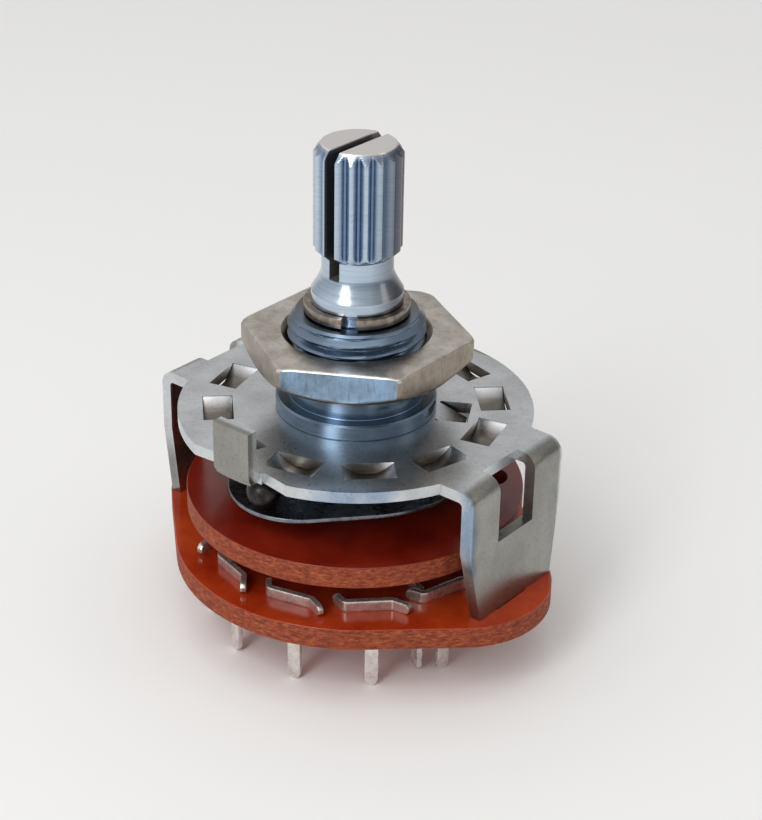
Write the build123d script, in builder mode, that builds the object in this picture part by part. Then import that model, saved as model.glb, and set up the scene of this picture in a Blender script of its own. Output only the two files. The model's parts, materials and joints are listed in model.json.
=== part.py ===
"""Twelve-position rotary wafer switch, millimetres.

The origin is on the shaft's axis, in the plane that the panel seats on: the top of the bushing's collar.
+Z runs up the shaft and +X points out through one leg of the frame, across the middle of its outer face.
"""
from build123d import *
import os
from math import cos, pi, radians, sin

# Frame: one blanked and bent steel plate
SHEET = 0.8
COLLAR_HEIGHT = 1.1
PLATE_RADIUS = 12.4
LEG_OUTER_X = 13.95
LEG_HALF_WIDTH = 5.1
BEND_RADIUS = 1.1
WINDOW_HALF_WIDTH = 1.95
WINDOW_DROP = 4.85
TAPER_DROP = 4.6
TAPER_NEAR = 1.5
TAPER_FAR = 0.6
LUG_WIDTH = 3.1
LUG_X = -0.2
LUG_OUTER_Y = 12.5
LUG_TOP_Z = 1.95
FOOT_HALF_WIDTH = 1.6
FOOT_CLINCH = 2.2
LEG_ROOT_X = 10.6
LUG_ROOT_Y = 11
LUG_BEND = 0.6
LUG_NOTCH = 0.5
RELIEF_DEPTH = 0.95
RELIEF_LENGTH = 2.1
POSITIONS = 12
STEP_ANGLE = 360 / POSITIONS
FIRST_ANGLE = STEP_ANGLE / 2
BUMP_LENGTH = 3.56
BUMP_WIDTH = 2.1
BUMP_DEPTH = 0.85
BUMP_CIRCLE = 9.6
STOP_ANGLE = 30
STOP_INNER_R = 5.75
STOP_OUTER_R = 7.7
STOP_WIDTH = 2.4
STOP_DROP = 1.0

# Threaded bushing, 3/8 inch by 32 threads per inch, and its nut
THREAD_RADIUS = 9.525 / 2
COLLAR_RADIUS = 5.6
SPIGOT_RADIUS = 4.6
LIP_RADIUS = 5.2
LIP_HEIGHT = 0.4
THREAD_CHAMFER = 0.55
COLLAR_CHAMFER = 0.1
BUSHING_TOP = 6.1
NUT_ACROSS_FLATS = 14.2
NUT_BOTTOM = 2.35
NUT_HEIGHT = 2.3
RUNNING_GAP = 0.04

# Shaft with an 18 tooth knurl of 6 mm
KNURL_RADIUS = 3.0
KNURL_ROOT = 2.62
KNURL_TEETH = 18
KNURL_CREST = 0.22
NECK_RADIUS = 2.45
BODY_RADIUS = 3.15
GROOVE_RADIUS = 2.6
SHAFT_TOP = 18.1
KNURL_BOTTOM = 10.85
SLOT_WIDTH = 0.85
SLOT_BOTTOM = 9.05
SLOT_ANGLE = 90
CIRCLIP_BOTTOM = 6.2
CIRCLIP_HEIGHT = 0.72
CIRCLIP_RADIUS = 3.65
CIRCLIP_GAP = 1.0
CIRCLIP_GAP_ANGLE = -59
FLAT_DISTANCE = 2.2
DRIVE_RADIUS = 3.0
JOURNAL_RADIUS = 2.0

# Pieces that turn with the shaft, from the top down
BALL_RADIUS = 1.175
SEAT_RADIUS = 0.65
LEAF_TIP_R = 10.8
LEAF_BODY_R = 8.85
LEAF_EAR_R = 4.95
LEAF_THICKNESS = 0.3
LEAF_TOP = -4.95
STOP_ARM_TOP = -2.45
STOP_ARM_THICKNESS = 0.7
STOP_ARM_R = 7.4
STOP_ARM_ANGLE = 195
HUB_RADIUS = 4.2
ROTOR_RADIUS = 11.95
ROTOR_TOP = -7.1
LAMINATE = 1.6
RING_INNER = 4.9
RING_OUTER = 7.2
RING_THICKNESS = 0.25
WIPER_ANGLE = 105
WIPER_WIDTH = 1.2
TOUCH_GAP = 0.05
WASHER_RADIUS = 4.4
WASHER_THICKNESS = 0.4
JOURNAL_REACH = 0.3
HOLE_ANGLE = 42
HOLE_CIRCLE = 9.6
HOLE_RADIUS = 1.3

# Stator board and its terminals
BOARD_TOP = -11.4
BOARD_RADIUS = 12.85
BOARD_END_X = 9.4
BOARD_END_R = 6.5
TERMINAL_CIRCLE = 10.4
TERMINAL_SHEET = 0.4
TERMINAL_RISE = 0.8
BAR_HALF = 1.6
INNER_ARM_END = (-1.1, -2.2)
OUTER_ARM_END = (0.8, 2.7)
PIN_SHIFT = 0.27
PIN_CIRCLE = 10.28
PIN_WIDTH = 0.95
PIN_TIP = -17.65
SLOT_FIT = 0.02
POLE_ANGLE = -22.5
POLE_R = 9.4

plate_top = -COLLAR_HEIGHT
plate_bottom = plate_top - SHEET
board_bottom = BOARD_TOP - LAMINATE
rotor_bottom = ROTOR_TOP - LAMINATE
leaf_bottom = LEAF_TOP - LEAF_THICKNESS
lip_bottom = plate_bottom - LIP_HEIGHT
arm_bottom = STOP_ARM_TOP - STOP_ARM_THICKNESS
ring_bottom = rotor_bottom - RING_THICKNESS
bar_top = BOARD_TOP + TERMINAL_RISE
terminal_angles = [FIRST_ANGLE + STEP_ANGLE * i for i in range(POSITIONS)]

os.makedirs("parts", exist_ok=True)


def save(part, name):
    part.label = name
    export_step(part, f"parts/{name}.step")


def polar_plane(angle, radius, height):
    """A plane whose X runs outwards and whose Z runs up, at a point round the shaft."""
    origin = (radius * cos(radians(angle)), radius * sin(radians(angle)), height)
    return Plane(origin=origin, x_dir=(cos(radians(angle)), sin(radians(angle)), 0), z_dir=(0, 0, 1))


def radial_plane(angle, sideways=0.0):
    """A plane through the shaft's axis: its X runs outwards and its Y runs up."""
    across = (-sin(radians(angle)), cos(radians(angle)))
    origin = (sideways * across[0], sideways * across[1], 0)
    return Plane(origin=origin, x_dir=(cos(radians(angle)), sin(radians(angle)), 0),
                 z_dir=(sin(radians(angle)), -cos(radians(angle)), 0))


def tangent_plane(angle, radius):
    """A plane that faces outwards at a radius: its X runs round the shaft and its Y runs up."""
    origin = (radius * cos(radians(angle)), radius * sin(radians(angle)), 0)
    return Plane(origin=origin, x_dir=(-sin(radians(angle)), cos(radians(angle)), 0),
                 z_dir=(cos(radians(angle)), sin(radians(angle)), 0))


# Frame -------------------------------------------------------------------------------------------
with BuildPart() as frame:
    with BuildSketch(Plane.XY.offset(plate_bottom)):
        Circle(PLATE_RADIUS)
        Circle(SPIGOT_RADIUS, mode=Mode.SUBTRACT)
    extrude(amount=SHEET)

    # Each leg is an angle section, swept across its width, with its side edges and window cut away
    for side in (0, 180):
        with BuildSketch(radial_plane(side)):
            with BuildLine():
                inner_x = LEG_OUTER_X - SHEET
                inner_r = BEND_RADIUS - SHEET
                Polyline((LEG_ROOT_X, plate_bottom), (LEG_ROOT_X, plate_top),
                         (LEG_OUTER_X - BEND_RADIUS, plate_top))
                RadiusArc((LEG_OUTER_X - BEND_RADIUS, plate_top),
                          (LEG_OUTER_X, plate_top - BEND_RADIUS), BEND_RADIUS)
                Polyline((LEG_OUTER_X, plate_top - BEND_RADIUS), (LEG_OUTER_X, BOARD_TOP),
                         (inner_x, BOARD_TOP), (inner_x, plate_bottom - inner_r))
                RadiusArc((inner_x, plate_bottom - inner_r), (inner_x - inner_r, plate_bottom), -inner_r)
                Line((inner_x - inner_r, plate_bottom), (LEG_ROOT_X, plate_bottom))
            make_face()
        extrude(amount=LEG_HALF_WIDTH, both=True)

        taper_top = plate_top - TAPER_DROP
        near = -1 if side == 0 else 1
        with BuildSketch(tangent_plane(side, LEG_OUTER_X - 2)):
            for hand, inset in ((-1, TAPER_NEAR), (1, TAPER_FAR)):
                edge = hand * LEG_HALF_WIDTH
                with BuildLine():
                    Polyline((edge, taper_top), (edge - hand * inset, BOARD_TOP),
                             (edge - hand * inset, BOARD_TOP - 1),
                             (edge + hand, BOARD_TOP - 1), (edge + hand, taper_top), (edge, taper_top))
                make_face()
        extrude(amount=4, mode=Mode.SUBTRACT)

        window_bottom = plate_top - WINDOW_DROP
        with BuildSketch(tangent_plane(side, PLATE_RADIUS)):
            with Locations((0, (window_bottom + 1) / 2)):
                Rectangle(2 * WINDOW_HALF_WIDTH, 1 - window_bottom)
        extrude(amount=4, mode=Mode.SUBTRACT)

        # The foot goes through the board and is clinched inwards under it
        with BuildSketch(radial_plane(side)):
            with BuildLine():
                Polyline((LEG_OUTER_X - SHEET, BOARD_TOP), (LEG_OUTER_X, BOARD_TOP),
                         (LEG_OUTER_X, board_bottom - SHEET),
                         (LEG_OUTER_X - FOOT_CLINCH, board_bottom - SHEET),
                         (LEG_OUTER_X - FOOT_CLINCH, board_bottom), (LEG_OUTER_X - SHEET, board_bottom),
                         (LEG_OUTER_X - SHEET, BOARD_TOP))
            make_face()
        extrude(amount=FOOT_HALF_WIDTH, both=True)

    # The anti-rotation lug is bent up from a flat tab on the -Y side
    with BuildSketch(radial_plane(-90, LUG_X)):
        with BuildLine():
            Polyline((LUG_ROOT_Y, plate_bottom), (LUG_OUTER_Y - LUG_BEND, plate_bottom))
            RadiusArc((LUG_OUTER_Y - LUG_BEND, plate_bottom),
                      (LUG_OUTER_Y, plate_bottom + LUG_BEND), -LUG_BEND)
            Polyline((LUG_OUTER_Y, plate_bottom + LUG_BEND), (LUG_OUTER_Y, LUG_TOP_Z),
                     (LUG_OUTER_Y - SHEET, LUG_TOP_Z),
                     (LUG_OUTER_Y - SHEET, plate_top), (LUG_ROOT_Y, plate_top), (LUG_ROOT_Y, plate_bottom))
        make_face()
    extrude(amount=LUG_WIDTH / 2, both=True)
    with BuildSketch(Plane.XY.offset(plate_bottom - 0.5)):
        for hand in (-1, 1):
            with Locations((LUG_X + hand * (LUG_WIDTH / 2 + LUG_NOTCH / 2), -LUG_OUTER_Y)):
                Rectangle(LUG_NOTCH, 1.6)
            # Beyond its notch the rim starts further in, and a straight cut runs out to the round
            start = LUG_X + hand * (LUG_WIDTH / 2 + LUG_NOTCH)
            finish = start + hand * RELIEF_LENGTH
            Polygon((start - hand * 0.1, -PLATE_RADIUS + RELIEF_DEPTH), (start, -PLATE_RADIUS + RELIEF_DEPTH),
                    (finish, -(PLATE_RADIUS ** 2 - finish ** 2) ** 0.5), (finish, -PLATE_RADIUS - 1),
                    (start - hand * 0.1, -PLATE_RADIUS - 1), align=None)
    extrude(amount=SHEET + 1, mode=Mode.SUBTRACT)

    # Twelve detent bumps: strips sheared along two sides and pressed down into arches
    for angle in terminal_angles:
        half = BUMP_LENGTH / 2
        with BuildSketch(tangent_plane(angle, BUMP_CIRCLE - BUMP_WIDTH / 2)):
            with Locations((0, plate_bottom + SHEET / 2)):
                Rectangle(BUMP_LENGTH, SHEET)
        extrude(amount=BUMP_WIDTH, mode=Mode.SUBTRACT)
        with BuildSketch(tangent_plane(angle, BUMP_CIRCLE - BUMP_WIDTH / 2)):
            with BuildLine():
                for height in (plate_top, plate_bottom):
                    low = height - BUMP_DEPTH
                    Spline((-half, height), (0, low), (half, height), tangents=((1, 0), (1, 0), (1, 0)))
                Line((-half, plate_bottom), (-half, plate_top))
                Line((half, plate_bottom), (half, plate_top))
            make_face()
        extrude(amount=BUMP_WIDTH)

    # The stop tongue is lanced on three sides and slopes down from the collar outwards
    with BuildSketch(radial_plane(STOP_ANGLE)):
        with Locations(((STOP_INNER_R + STOP_OUTER_R) / 2 + 0.15, plate_bottom + SHEET / 2)):
            Rectangle(STOP_OUTER_R - STOP_INNER_R + 0.3, SHEET)
    extrude(amount=STOP_WIDTH / 2 + 0.25, both=True, mode=Mode.SUBTRACT)
    with BuildSketch(radial_plane(STOP_ANGLE)):
        with BuildLine():
            Polyline((STOP_INNER_R, plate_top), (STOP_OUTER_R, plate_top - STOP_DROP),
                     (STOP_OUTER_R, plate_bottom - STOP_DROP), (STOP_INNER_R, plate_bottom),
                     (STOP_INNER_R, plate_top))
        make_face()
    extrude(amount=STOP_WIDTH / 2, both=True)
save(frame.part, "detent_frame")

# Bushing -----------------------------------------------------------------------------------------
with BuildPart() as bushing:
    with BuildSketch(Plane.XZ):
        with BuildLine():
            bore = BODY_RADIUS + RUNNING_GAP
            Polyline((bore, BUSHING_TOP), (THREAD_RADIUS - THREAD_CHAMFER, BUSHING_TOP),
                     (THREAD_RADIUS, BUSHING_TOP - THREAD_CHAMFER),
                     (THREAD_RADIUS, 0), (COLLAR_RADIUS - COLLAR_CHAMFER, 0),
                     (COLLAR_RADIUS, -COLLAR_CHAMFER), (COLLAR_RADIUS, plate_top),
                     (SPIGOT_RADIUS, plate_top), (SPIGOT_RADIUS, plate_bottom), (LIP_RADIUS, plate_bottom),
                     (LIP_RADIUS - 0.3, lip_bottom), (bore, lip_bottom), (bore, BUSHING_TOP))
        make_face()
    revolve(axis=Axis.Z)
save(bushing.part, "bushing")

# Mounting nut ------------------------------------------------------------------------------------
with BuildPart() as nut:
    corner = NUT_ACROSS_FLATS / 2 / cos(pi / 6)
    with BuildSketch(Plane.XY.offset(NUT_BOTTOM)):
        RegularPolygon(corner, 6, rotation=30)
    extrude(amount=NUT_HEIGHT)
    # The lower corners are turned off at 30 degrees, the upper edge only broken
    with BuildSketch(Plane.XZ):
        with BuildLine():
            nut_top = NUT_BOTTOM + NUT_HEIGHT
            face = NUT_ACROSS_FLATS / 2 - 0.15
            Polyline((0, nut_top), (corner - 0.3, nut_top), (corner, nut_top - 0.12),
                     (corner, NUT_BOTTOM + 0.75), (face, NUT_BOTTOM), (0, NUT_BOTTOM), (0, nut_top))
        make_face()
    revolve(axis=Axis.Z, mode=Mode.INTERSECT)
    with BuildSketch(Plane.XZ):
        with BuildLine():
            hole = THREAD_RADIUS + RUNNING_GAP
            Polyline((0, NUT_BOTTOM), (hole + 0.4, NUT_BOTTOM), (hole, NUT_BOTTOM + 0.4),
                     (hole, nut_top - 0.4),
                     (hole + 0.4, nut_top), (0, nut_top), (0, NUT_BOTTOM))
        make_face()
    revolve(axis=Axis.Z, mode=Mode.SUBTRACT)
save(nut.part, "mounting_nut")

# Shaft -------------------------------------------------------------------------------------------
with BuildPart() as shaft:
    with BuildSketch(Plane.XZ):
        with BuildLine():
            groove_top = CIRCLIP_BOTTOM + CIRCLIP_HEIGHT
            Polyline((0, SHAFT_TOP), (2.54, SHAFT_TOP), (KNURL_RADIUS, SHAFT_TOP - 0.65),
                     (KNURL_RADIUS, KNURL_BOTTOM), (NECK_RADIUS, KNURL_BOTTOM - 0.5), (NECK_RADIUS, 8.9),
                     (BODY_RADIUS, 7.75), (BODY_RADIUS, groove_top), (GROOVE_RADIUS, groove_top),
                     (GROOVE_RADIUS, CIRCLIP_BOTTOM), (BODY_RADIUS, CIRCLIP_BOTTOM),
                     (BODY_RADIUS, STOP_ARM_TOP),
                     (DRIVE_RADIUS, STOP_ARM_TOP), (DRIVE_RADIUS, ring_bottom - WASHER_THICKNESS),
                     (JOURNAL_RADIUS, ring_bottom - WASHER_THICKNESS),
                     (JOURNAL_RADIUS, board_bottom - JOURNAL_REACH), (0, board_bottom - JOURNAL_REACH),
                     (0, SHAFT_TOP))
        make_face()
    revolve(axis=Axis.Z)
    # Knurl: straight vee grooves
    groove_half = KNURL_RADIUS * sin(radians(180 / KNURL_TEETH)) - KNURL_CREST / 2
    groove_mouth = (KNURL_RADIUS ** 2 - groove_half ** 2) ** 0.5
    with BuildSketch(Plane.XY.offset(KNURL_BOTTOM - 0.6)):
        with PolarLocations(0, KNURL_TEETH, start_angle=SLOT_ANGLE):
            Polygon((KNURL_ROOT, 0), (groove_mouth, groove_half), (KNURL_RADIUS + 0.2, groove_half + 0.05),
                    (KNURL_RADIUS + 0.2, -groove_half - 0.05), (groove_mouth, -groove_half), align=None)
    extrude(amount=SHAFT_TOP - KNURL_BOTTOM + 1, mode=Mode.SUBTRACT)
    # Screwdriver slot through the knurl and the neck
    with BuildSketch(Plane.XY.offset(SLOT_BOTTOM)):
        Rectangle(10, SLOT_WIDTH, rotation=SLOT_ANGLE)
    extrude(amount=SHAFT_TOP, mode=Mode.SUBTRACT)
    # Two flats drive the pieces below the bushing
    with BuildSketch(Plane.XY.offset(ring_bottom - WASHER_THICKNESS)):
        for hand in (-1, 1):
            with Locations((hand * (FLAT_DISTANCE + 1), 0)):
                Rectangle(2, 8)
    extrude(amount=STOP_ARM_TOP - ring_bottom + WASHER_THICKNESS, mode=Mode.SUBTRACT)
save(shaft.part, "shaft")


def drive_hole():
    """The two-flatted hole that the shaft turns; drawn inside a sketch."""
    with BuildSketch(mode=Mode.PRIVATE) as hole_shape:
        Circle(DRIVE_RADIUS)
        Rectangle(2 * FLAT_DISTANCE, 8, mode=Mode.INTERSECT)
    add(hole_shape.sketch, mode=Mode.SUBTRACT)


with BuildPart() as circlip:
    with BuildSketch(Plane.XY.offset(CIRCLIP_BOTTOM + 0.01)):
        Circle(CIRCLIP_RADIUS)
        Circle(GROOVE_RADIUS, mode=Mode.SUBTRACT)
        with Locations(Location((0, 0, 0), (0, 0, CIRCLIP_GAP_ANGLE))):
            with Locations((CIRCLIP_RADIUS, 0)):
                Rectangle(2 * CIRCLIP_RADIUS, CIRCLIP_GAP, mode=Mode.SUBTRACT)
    extrude(amount=CIRCLIP_HEIGHT - 0.02)
save(circlip.part, "circlip")

# Pieces that the shaft turns -----------------------------------------------------------------------
with BuildPart() as stop_arm:
    with BuildSketch(Plane.XY.offset(arm_bottom)):
        Circle(HUB_RADIUS + 0.6)
        with Locations(Location((0, 0, 0), (0, 0, STOP_ARM_ANGLE))):
            with Locations((STOP_ARM_R / 2, 0)):
                Rectangle(STOP_ARM_R, 1.0)
        drive_hole()
    extrude(amount=STOP_ARM_THICKNESS)
save(stop_arm.part, "stop_arm")

for name, top, bottom in (("upper_spacer", arm_bottom, LEAF_TOP), ("lower_spacer", leaf_bottom, ROTOR_TOP)):
    with BuildPart() as spacer:
        with BuildSketch(Plane.XY.offset(bottom)):
            Circle(HUB_RADIUS)
            drive_hole()
        extrude(amount=top - bottom)
        chamfer(spacer.edges().filter_by(GeomType.CIRCLE).group_by(Edge.length)[-1], 0.15)
    save(spacer.part, name)

with BuildPart() as leaf:
    with BuildSketch(Plane.XY.offset(leaf_bottom)):
        # Two opposite ears, each a wide round tongue that carries a ball
        with BuildSketch(mode=Mode.PRIVATE) as outline:
            Circle(LEAF_BODY_R)
            with Locations((0, LEAF_TIP_R - LEAF_EAR_R), (0, LEAF_EAR_R - LEAF_TIP_R)):
                Circle(LEAF_EAR_R)
        make_hull(outline.sketch.edges())
        with Locations((0, BUMP_CIRCLE), (0, -BUMP_CIRCLE)):
            Circle(SEAT_RADIUS, mode=Mode.SUBTRACT)
        drive_hole()
    extrude(amount=LEAF_THICKNESS)
save(leaf.part, "detent_spring")

ball_height = LEAF_TOP + (BALL_RADIUS ** 2 - (SEAT_RADIUS - 0.02) ** 2) ** 0.5
for name, angle in (("detent_ball_front", -90), ("detent_ball_rear", 90)):
    with BuildPart(polar_plane(angle, BUMP_CIRCLE, ball_height)) as ball:
        Sphere(BALL_RADIUS)
    save(ball.part, name)

with BuildPart() as rotor:
    with BuildSketch(Plane.XY.offset(rotor_bottom)):
        Circle(ROTOR_RADIUS)
        drive_hole()
        with Locations(polar_plane(HOLE_ANGLE, HOLE_CIRCLE, 0).origin):
            Circle(HOLE_RADIUS, mode=Mode.SUBTRACT)
    extrude(amount=LAMINATE)
save(rotor.part, "rotor_disc")

# The moving contact is a ring with one spring tongue that reaches down to the terminals' top edges
with BuildPart() as wiper:
    with BuildSketch(Plane.XY.offset(ring_bottom)):
        Circle(RING_OUTER)
        Circle(RING_INNER, mode=Mode.SUBTRACT)
    extrude(amount=RING_THICKNESS)
    tip_top = bar_top + TOUCH_GAP + RING_THICKNESS
    with BuildSketch(radial_plane(WIPER_ANGLE)):
        with BuildLine():
            Polyline((6.6, rotor_bottom), (7.4, rotor_bottom), (9.95, tip_top), (10.9, tip_top),
                     (10.9, tip_top - RING_THICKNESS), (9.85, tip_top - RING_THICKNESS), (7.3, ring_bottom),
                     (6.6, ring_bottom), (6.6, rotor_bottom))
        make_face()
    extrude(amount=WIPER_WIDTH / 2, both=True)
save(wiper.part, "moving_contact")

with BuildPart() as retainer:
    with BuildSketch(Plane.XY.offset(ring_bottom - WASHER_THICKNESS)):
        Circle(WASHER_RADIUS)
        drive_hole()
    extrude(amount=WASHER_THICKNESS + RING_THICKNESS)
save(retainer.part, "rotor_washer")

# Stator board --------------------------------------------------------------------------------------
with BuildPart() as board:
    with BuildSketch(Plane.XY.offset(board_bottom)):
        with BuildSketch(mode=Mode.PRIVATE) as ends:
            with Locations((BOARD_END_X, 0), (-BOARD_END_X, 0)):
                Circle(BOARD_END_R)
            Circle(BOARD_RADIUS)
        make_hull(ends.sketch.edges())
        Circle(JOURNAL_RADIUS + RUNNING_GAP, mode=Mode.SUBTRACT)
        for side in (-1, 1):
            with Locations((side * (LEG_OUTER_X - SHEET / 2), 0)):
                Rectangle(SHEET + 2 * SLOT_FIT, 2 * (FOOT_HALF_WIDTH + SLOT_FIT), mode=Mode.SUBTRACT)
        for angle in terminal_angles:
            with Locations(Location((0, 0, 0), (0, 0, angle))):
                with Locations((PIN_CIRCLE, PIN_SHIFT)):
                    Rectangle(TERMINAL_SHEET + 2 * SLOT_FIT, PIN_WIDTH + 2 * SLOT_FIT, mode=Mode.SUBTRACT)
        with Locations(Location((0, 0, 0), (0, 0, POLE_ANGLE))):
            with Locations((POLE_R, 0)):
                Rectangle(PIN_WIDTH + 2 * SLOT_FIT, TERMINAL_SHEET + 2 * SLOT_FIT, mode=Mode.SUBTRACT)
    extrude(amount=LAMINATE)
save(board.part, "stator_board")

# Twelve terminals: a standing strip bent to a flat Z, and a pin through the board
for number, angle in enumerate(terminal_angles, 1):
    with BuildPart() as terminal:
        with BuildSketch(polar_plane(angle, TERMINAL_CIRCLE, BOARD_TOP)):
            with BuildLine():
                FilletPolyline(INNER_ARM_END, (0, -BAR_HALF), (0, BAR_HALF), OUTER_ARM_END, radius=0.35)
            trace(line_width=TERMINAL_SHEET)
        extrude(amount=TERMINAL_RISE)
        with BuildSketch(tangent_plane(angle, PIN_CIRCLE - TERMINAL_SHEET / 2)):
            with Locations((PIN_SHIFT, (BOARD_TOP + PIN_TIP) / 2)):
                Rectangle(PIN_WIDTH, BOARD_TOP - PIN_TIP)
        extrude(amount=TERMINAL_SHEET)
        lowest = terminal.edges().group_by(Axis.Z)[0]
        tip_edges = lowest.filter_by(lambda e: abs(e.length - TERMINAL_SHEET) < 0.01)
        fillet(tip_edges, 0.35)
    save(terminal.part, f"terminal_{number:02d}")

# The common terminal: a pin set edge-on, with a finger that rises to the moving contact's ring
with BuildPart() as pole:
    with BuildSketch(radial_plane(POLE_ANGLE)):
        with BuildLine():
            reach = POLE_R + PIN_WIDTH / 2
            ring_touch = ring_bottom - TOUCH_GAP
            Polyline((reach, PIN_TIP + 0.3), (reach, bar_top - 0.1), (reach - 1.2, bar_top - 0.1),
                     (6.6, ring_touch),
                     (5.8, ring_touch), (5.8, ring_touch - 0.3), (6.5, ring_touch - 0.3),
                     (reach - PIN_WIDTH - 0.6, BOARD_TOP), (reach - PIN_WIDTH, BOARD_TOP),
                     (reach - PIN_WIDTH, PIN_TIP + 0.3), (reach, PIN_TIP + 0.3))
        make_face()
    extrude(amount=TERMINAL_SHEET / 2, both=True)
save(pole.part, "common_terminal")
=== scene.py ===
# %% [markdown]
# # A rotary wafer switch, finished for a close look
# The switch turns a knurled shaft through twelve clicked positions. A bent sheet of zinc plated steel holds
# the detent, a threaded bushing fixes it to a panel, and two discs of red phenolic laminate carry the contacts.
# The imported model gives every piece's place and size. This file gives each piece its edges, threads and finish.

# %% Load the model
import json
from math import atan2, cos, degrees, radians, sin, tau

import bmesh
import bpy
from mathutils import Matrix, Vector


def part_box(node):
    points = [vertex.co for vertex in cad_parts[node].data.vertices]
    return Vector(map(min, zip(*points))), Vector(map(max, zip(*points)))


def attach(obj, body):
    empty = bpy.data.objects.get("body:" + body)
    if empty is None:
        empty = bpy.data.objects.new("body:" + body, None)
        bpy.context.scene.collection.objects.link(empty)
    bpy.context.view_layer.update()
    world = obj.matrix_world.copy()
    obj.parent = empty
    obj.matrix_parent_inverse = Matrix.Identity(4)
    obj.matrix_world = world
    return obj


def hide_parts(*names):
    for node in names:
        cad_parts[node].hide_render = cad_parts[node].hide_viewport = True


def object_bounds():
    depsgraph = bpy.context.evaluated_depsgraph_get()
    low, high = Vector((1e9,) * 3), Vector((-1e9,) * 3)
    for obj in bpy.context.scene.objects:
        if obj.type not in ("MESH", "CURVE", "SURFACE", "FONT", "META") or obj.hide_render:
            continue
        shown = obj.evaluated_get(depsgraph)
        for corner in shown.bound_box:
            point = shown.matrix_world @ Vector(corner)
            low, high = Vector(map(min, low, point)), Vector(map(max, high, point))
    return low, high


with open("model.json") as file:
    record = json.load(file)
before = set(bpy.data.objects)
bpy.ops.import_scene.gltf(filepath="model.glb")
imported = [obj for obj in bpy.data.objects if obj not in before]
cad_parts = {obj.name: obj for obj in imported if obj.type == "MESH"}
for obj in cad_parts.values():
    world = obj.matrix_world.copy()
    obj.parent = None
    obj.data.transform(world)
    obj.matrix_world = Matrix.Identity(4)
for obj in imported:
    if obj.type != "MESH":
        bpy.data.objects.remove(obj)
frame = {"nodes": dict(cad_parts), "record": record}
cad_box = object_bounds()
low, high = cad_box
MM = 0.001
BODY_OF = {node: body for body, nodes in frame["record"]["behaviour"]["bodies"].items() for node in nodes}
SLOT_OF = {row["node"]: row["material_slot"] for row in frame["record"]["subparts"]}
print("model box in mm:", [round((b - a) / MM, 2) for a, b in zip(low, high)])

# %% [markdown]
# ## Camera
# The switch stands on its pins and is seen from above one leg. A long lens, about 83 mm on a 36 mm film,
# keeps the upright edges nearly parallel. A camera could be placed by hand. Here it circles a point near the
# frame's plate, so its azimuth, elevation and distance are three plain numbers, and it is rolled a little.

# %% Camera
AIM = Vector((1.50, 0.93, -1.51)) * MM
CAMERA_AZIMUTH, CAMERA_ELEVATION, CAMERA_ROLL = radians(38.7), radians(27.9), radians(1.06)
CAMERA_DISTANCE = 132.67 * MM
LENS, FILM_WIDTH, NEAREST = 83.46, 36, 0.005


def towards(azimuth, elevation):
    """The direction from the aim point to a place at that azimuth and elevation."""
    return Vector((sin(azimuth) * cos(elevation), -cos(azimuth) * cos(elevation), sin(elevation)))


camera = bpy.data.objects.new("camera", bpy.data.cameras.new("camera"))
bpy.context.scene.collection.objects.link(camera)
bpy.context.scene.camera = camera
camera.data.lens, camera.data.sensor_width, camera.data.clip_start = LENS, FILM_WIDTH, NEAREST
sight = towards(CAMERA_AZIMUTH, CAMERA_ELEVATION)
roll = Matrix.Rotation(CAMERA_ROLL, 3, "Z").to_quaternion()
camera.location = AIM + sight * CAMERA_DISTANCE
camera.rotation_euler = (sight.to_track_quat("Z", "Y") @ roll).to_euler()
print("camera at", [round(c / MM, 1) for c in camera.location])

# %% [markdown]
# ## Colours and nodes
# Shader colours are linear light, while colours are usually written down as sRGB hex codes, so one function
# turns one into the other. A second one adds a node. It sets the node's settings first, because they decide
# which inputs count, then fills the inputs, and for a colour ramp lays out the stops.

# %% Helpers for colours and nodes
FIRST, SECOND, MIXED = 6, 7, 2  # a Mix node's two colour inputs and its colour output, by number


def linear(code):
    """An sRGB hex colour as four linear numbers."""
    parts = [int(code[i:i + 2], 16) / 255 for i in (1, 3, 5)]
    return tuple(c / 12.92 if c <= 0.04045 else ((c + 0.055) / 1.055) ** 2.4 for c in parts) + (1.0,)


def add(tree, kind, inputs=None, stops=(), **settings):
    """Adds one node, sets its settings, fills its inputs with values or links, and sets a ramp's stops."""
    made = tree.nodes.new(kind)
    for key, value in settings.items():
        setattr(made, key, value)
    for key, value in (inputs or {}).items():
        if isinstance(value, bpy.types.NodeSocket):
            tree.links.new(value, made.inputs[key])
        else:
            made.inputs[key].default_value = value
    for _ in stops[2:]:
        made.color_ramp.elements.new(0.5)
    for number, (position, code) in enumerate(stops):
        made.color_ramp.elements[number].position = position
        made.color_ramp.elements[number].color = linear(code)
    return made


print("middle grey #808080 is", round(linear("#808080")[0], 3), "in linear light")

# %% [markdown]
# ## Surroundings
# Bright metal shows what stands round it, so the surroundings matter as much as the finish. An image of a
# studio could wrap the scene. A gradient is enough here: grey below, nearly white from the horizon up, and
# dimmer towards one side, which gives round metal a bright side and a dark one.

# %% World
WORLD_STOPS = ((0.0, "#BFC3C8"), (0.25, "#D0D2D5"), (0.48, "#F6F4F2"), (1.0, "#F0F0F0"))
DIM_SIDE = (0.78, 0.625, 0.0)
BRIGHT_STRENGTH, DIM_STRENGTH = 0.94, 0.50

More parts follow.
